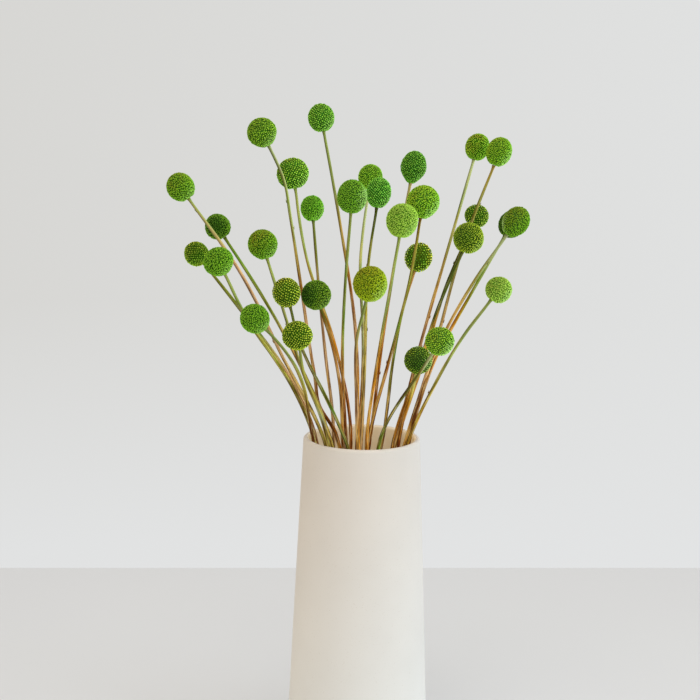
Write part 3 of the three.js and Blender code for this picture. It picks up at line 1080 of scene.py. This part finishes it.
def head_looks(normals, traits, random):
    """Layers that every floret of a head has, from the way it faces."""
    count = len(normals)
    from_bud = np.arccos(np.clip(normals @ unit(np.array(traits["bud_at"])), -1, 1))
    from_bud = from_bud + random.normal(0, CLOSED_BLUR, count)
    closed = traits["bud"] * (1 - smooth_step(from_bud, *CLOSED_REACH))
    closed = closed * random.uniform(*SCATTER["bud"], count)
    outer = traits["bud"] * smooth_step(from_bud, *OUTER_REACH)
    # Painted warm tint of the light: florets facing the upper left are more olive.
    towards_warm_tint = normals @ unit(np.array(WARM_TINT_WAY))
    warm_tinted = np.clip(RIPE_ACROSS + RIPE_TOWARDS * towards_warm_tint, 0, 1)
    # Painted pale light, strongest on the head's lit side.
    painted_pale_light = smooth_step(normals @ unit(np.array(traits["painted_light_at"])), *PAINTED_PALE_LIGHT_REACH)
    # Painted light on florets facing right and down, and painted shade on those facing the front.
    lean = normals @ np.array(LIGHT_LEAN)
    lean = lean + FRONT_DIM * np.clip(normals[:, 1] + FRONT_MIDDLE, *FRONT_RANGE)
    # Painted shade on the closed florets of a crisp head.
    dim = DIM_IF_CRISP * max(0, traits["crisp"]) * closed
    unlike = UNLIKE + UNLIKE_IF_CRISP * traits["crisp"]
    light = traits["light"] * (1 + lean) * (1 - dim)
    return {
        "light": light * random.uniform(1 - unlike, 1 + unlike, count),
        "lush": traits["lush"] * random.uniform(*SCATTER["lush"], count),
        "ripe": traits["ripe"] * np.maximum(warm_tinted, outer) * random.uniform(*SCATTER["ripe"], count),
        "bud": closed,
        "pale": traits["pale"] * painted_pale_light * random.uniform(*SCATTER["pale"], count),
    }


def floret_seats(form, crisp, lumps, random):
    """Where a head's florets sit, the way each one faces, and how many a whole ball has."""
    largeness = form["half_width"] * form["half_length"] / USUAL_HEAD_RADIUS**2
    florets = round(np.clip(largeness, *LARGENESS_RANGE) * (FLORETS - FEWER_IF_CRISP * crisp))
    directions = evenly_round(florets, random.uniform(0, 2 * np.pi))
    jitter = FLORET_JITTER * max(LEAST_JITTER_SHARE, 1 - STEADIER_IF_CRISP * crisp)
    directions = unit(directions + random.normal(0, jitter, directions.shape))
    uneven = 1 + random.normal(0, FLORET_UNEVEN, florets)
    seats = on_head(form, directions, uneven, lumps)
    flat = seats[:, 2] <= -HEAD_SEAT * form["half_length"] + TOLERANCE
    clear = ~(flat & (np.hypot(seats[:, 0], seats[:, 1]) < SEAT_HOLE))
    seats, flat = seats[clear], flat[clear]
    half = np.array([form["half_width"], form["half_width"], form["half_length"]])
    normals = np.where(flat[:, None], [[0, 0, -1]], unit(seats / half**2))
    normals = unit(normals + random.normal(0, FLORET_TILT, normals.shape) * ~flat[:, None])
    return seats, normals, florets


def florets_on(seats, normals, width, random):
    """Points and triangles of all florets of a head, each a turned copy of one template."""
    template, faces, _ = floret_template()
    widths = (width * random.uniform(*FLORET_WIDTHS, len(seats)))[:, None, None]
    spin = random.uniform(0, 2 * np.pi, len(seats))[:, None]
    first = unit(np.cross(normals, OFF_THE_AXES))
    second = np.cross(normals, first)
    turned = first * np.cos(spin) + second * np.sin(spin)
    crossed = np.cross(normals, turned)
    depth = -template[:, 2] * width
    depth[-1] = FLORET_DEPTH
    points = (
        seats[:, None]
        + turned[:, None] * (template[None, :, :1] * widths)
        + crossed[:, None] * (template[None, :, 1:2] * widths)
        - normals[:, None] * depth[None, :, None]
    ).reshape(-1, 3)
    starts = np.arange(len(seats)) * len(template)
    return points, (faces[None] + starts[:, None, None]).reshape(-1, 3)


def head_mesh(form, traits, random):
    """Points, triangles and layers of one head: florets, core and neck."""
    crisp = traits["crisp"]
    lumps = lumps_from(random)
    seats, normals, florets = floret_seats(form, crisp, lumps, random)
    half = (form["half_width"], form["half_length"])
    area = 4 * np.pi * half[0] ** AREA_POWERS[0] * half[1] ** AREA_POWERS[1]
    width = FLORET_WIDTH_SHARE * math.sqrt(area / florets) * (1 - NARROWER_IF_CRISP * crisp)
    points, triangles = florets_on(seats, normals, width, random)
    core, core_faces = ball(CORE_RINGS, CORE_COLUMNS)
    core = on_head(form, core, CORE_SHARE, lumps)
    base, base_faces = neck(form)
    core_start, base_start = len(points), len(points) + len(core)
    triangles = np.vstack([triangles, core_faces + core_start, base_faces + base_start])

    _, _, tips = floret_template()
    # Painted shade in the gaps, deeper on crisp heads.
    tips = np.clip(0.5 + (tips - 0.5) * (GAP_CONTRAST + CONTRAST_IF_CRISP * crisp), 0, 1)
    looks = head_looks(normals @ form["turn"], traits, random)
    rest = len(core) + len(base)
    layers = {
        name: np.append(np.repeat(values, len(tips)), np.full(rest, values.mean()))
        for name, values in looks.items()
    }
    # The core has the colour of the gaps, with their painted shade, and the neck a colour halfway.
    core_tip, base_tip = np.zeros(len(core)), np.full(len(base), NECK_TIP)
    layers["tip"] = np.concatenate([np.tile(tips, len(seats)), core_tip, base_tip])
    points = form["centre"] + np.vstack([points, core, base]) @ form["turn"]
    return points, triangles, layers


def add_heads(lines, materials):
    """A head of fine florets for every CAD head."""
    for number, node in enumerate(HEAD_NODES):
        random = np.random.default_rng(HEAD_SEED + number)
        traits = TRAIT_DEFAULTS | HEAD_TRAITS[node.split("_")[1]]
        points, triangles, layers = head_mesh(head_form(node, lines), traits, random)
        name = node.replace("head", "florets")
        add_piece(name, node, points, triangles, materials[SLOT_OF[node]], **layers)


# ---- stage, light and camera ----


def add_table():
    low = (-TABLE_SIDE, TABLE_FRONT, -TABLE_THICKNESS)
    high = (TABLE_SIDE, TABLE_BACK, 0)
    corners = list(itertools.product(*zip(low, high)))
    faces = [(0, 1, 3, 2), (4, 6, 7, 5), (0, 4, 5, 1), (2, 3, 7, 6), (0, 2, 6, 4), (1, 5, 7, 3)]
    mesh = bpy.data.meshes.new("table")
    mesh.from_pydata(corners, [], faces)
    mesh.materials.append(table_material())
    table = bpy.data.objects.new("table", mesh)
    table.rotation_euler.z = TABLE_TURN
    bpy.context.scene.collection.objects.link(table)
    edge = table.modifiers.new("edge", "BEVEL")
    edge.width = TABLE_EDGE
    edge.segments = TABLE_EDGE_STEPS
    table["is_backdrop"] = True


# Each lamp's place, what it faces, its width, its power in watts and its colour.
LAMPS = {
    "window": ((1.5, -0.7, 1.1), (0, 0, 0.42), 1.1, 4.5, (0.85, 0.95, 1.0)),
    "ceiling": ((-0.1, -0.5, 1.7), (0, 0, 0.3), 0.9, 8, (1.0, 0.97, 0.93)),
}


def add_lamp(name, place, target, width, power, colour):
    lamp = bpy.data.lights.new(name, "AREA")
    lamp.shape = "DISK"
    lamp.size = width
    lamp.energy = power
    lamp.color = colour
    light = bpy.data.objects.new(name, lamp)
    light.location = place
    light.rotation_euler = (Vector(target) - Vector(place)).to_track_quat("-Z", "Y").to_euler()
    bpy.context.scene.collection.objects.link(light)


# Light of the room by direction. The wall is what shows behind the vase, and the ranges are of
# the direction's share to the right, and upward for the wall's low part.
WALL_LEFT = (0.680, 0.675, 0.655, 1)
WALL_RIGHT = (0.748, 0.755, 0.752, 1)
WALL_LOW = (0.770, 0.780, 0.785, 1)
ROOM_LEFT = (0.66, 0.54, 0.38, 1)
ROOM_RIGHT = (0.98, 1.08, 1.18, 1)
WALL_RANGE = (-0.25, 0.25)
WALL_LOW_RANGE = (-0.14, -0.30)
WALL_LOW_SHARE = 0.8
ROOM_LEFT_RANGE = (-1, -0.25)
ROOM_RIGHT_RANGE = (0.25, 1)


def add_room():
    """Even light from all round, dimmer and warmer from the left and brighter from the right."""
    world = bpy.data.worlds.new("room")
    world.use_nodes = True
    bpy.context.scene.world = world
    tree = world.node_tree
    background = tree.nodes["Background"]
    direction = tree.nodes.new("ShaderNodeTexCoord").outputs["Generated"]
    split = tree.nodes.new("ShaderNodeSeparateXYZ")
    plug(tree, direction, split.inputs[0])
    right, up = split.outputs["X"], split.outputs["Z"]
    wall = mixed(tree, spread(tree, right, WALL_RANGE), WALL_LEFT, WALL_RIGHT)
    low = spread(tree, up, WALL_LOW_RANGE, (0, WALL_LOW_SHARE))
    wall = mixed(tree, low, wall, WALL_LOW)
    dim = mixed(tree, spread(tree, right, ROOM_LEFT_RANGE), ROOM_LEFT, wall)
    lit = mixed(tree, spread(tree, right, ROOM_RIGHT_RANGE), dim, ROOM_RIGHT)
    plug(tree, lit, background.inputs["Color"])


def add_camera():
    camera_data = bpy.data.cameras.new("camera")
    camera_data.sensor_width = SENSOR_WIDTH_MM
    camera_data.lens = FOCAL_LENGTH_PIXELS / PICTURE_WIDTH_PIXELS * SENSOR_WIDTH_MM
    camera_data.clip_start = NEAREST_SEEN
    camera = bpy.data.objects.new("camera", camera_data)
    ahead = Vector((0, math.cos(CAMERA_PITCH_DOWN), -math.sin(CAMERA_PITCH_DOWN)))
    right = Vector((1, 0, 0))
    above = Vector((0, math.sin(CAMERA_PITCH_DOWN), math.cos(CAMERA_PITCH_DOWN)))
    rolled_right = math.cos(CAMERA_ROLL) * right + math.sin(CAMERA_ROLL) * above
    rolled_above = -math.sin(CAMERA_ROLL) * right + math.cos(CAMERA_ROLL) * above
    turn = Matrix((rolled_right, rolled_above, -ahead)).transposed()
    camera.matrix_world = Matrix.Translation(CAMERA_PLACE) @ turn.to_4x4()
    bpy.context.scene.collection.objects.link(camera)
    bpy.context.scene.camera = camera


# ---- the whole ----


def build():
    bpy.context.scene.view_settings.view_transform = "Standard"
    add_camera()
    add_room()
    for name, lamp in LAMPS.items():
        add_lamp(name, *lamp)
    add_table()
    add_vase()
    lines_of = {node: centrelines(node) for node in STALK_NODES}
    slots = set(SLOT_OF.values())
    stalk_slots = sorted(slot for slot in slots if slot.startswith("stem"))
    add_stalks(lines_of, {slot: stalk_material(slot) for slot in stalk_slots})
    lines = [line for lines in lines_of.values() for line in lines]
    add_heads(lines, {slot: floret_material(slot) for slot in sorted(slots & set(HEAD_COLOURS))})


build()
bpy.context.view_layer.update()
boxes = {"cad": cad_box, "visual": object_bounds()}
{name: [list(corner) for corner in box] for name, box in boxes.items()}
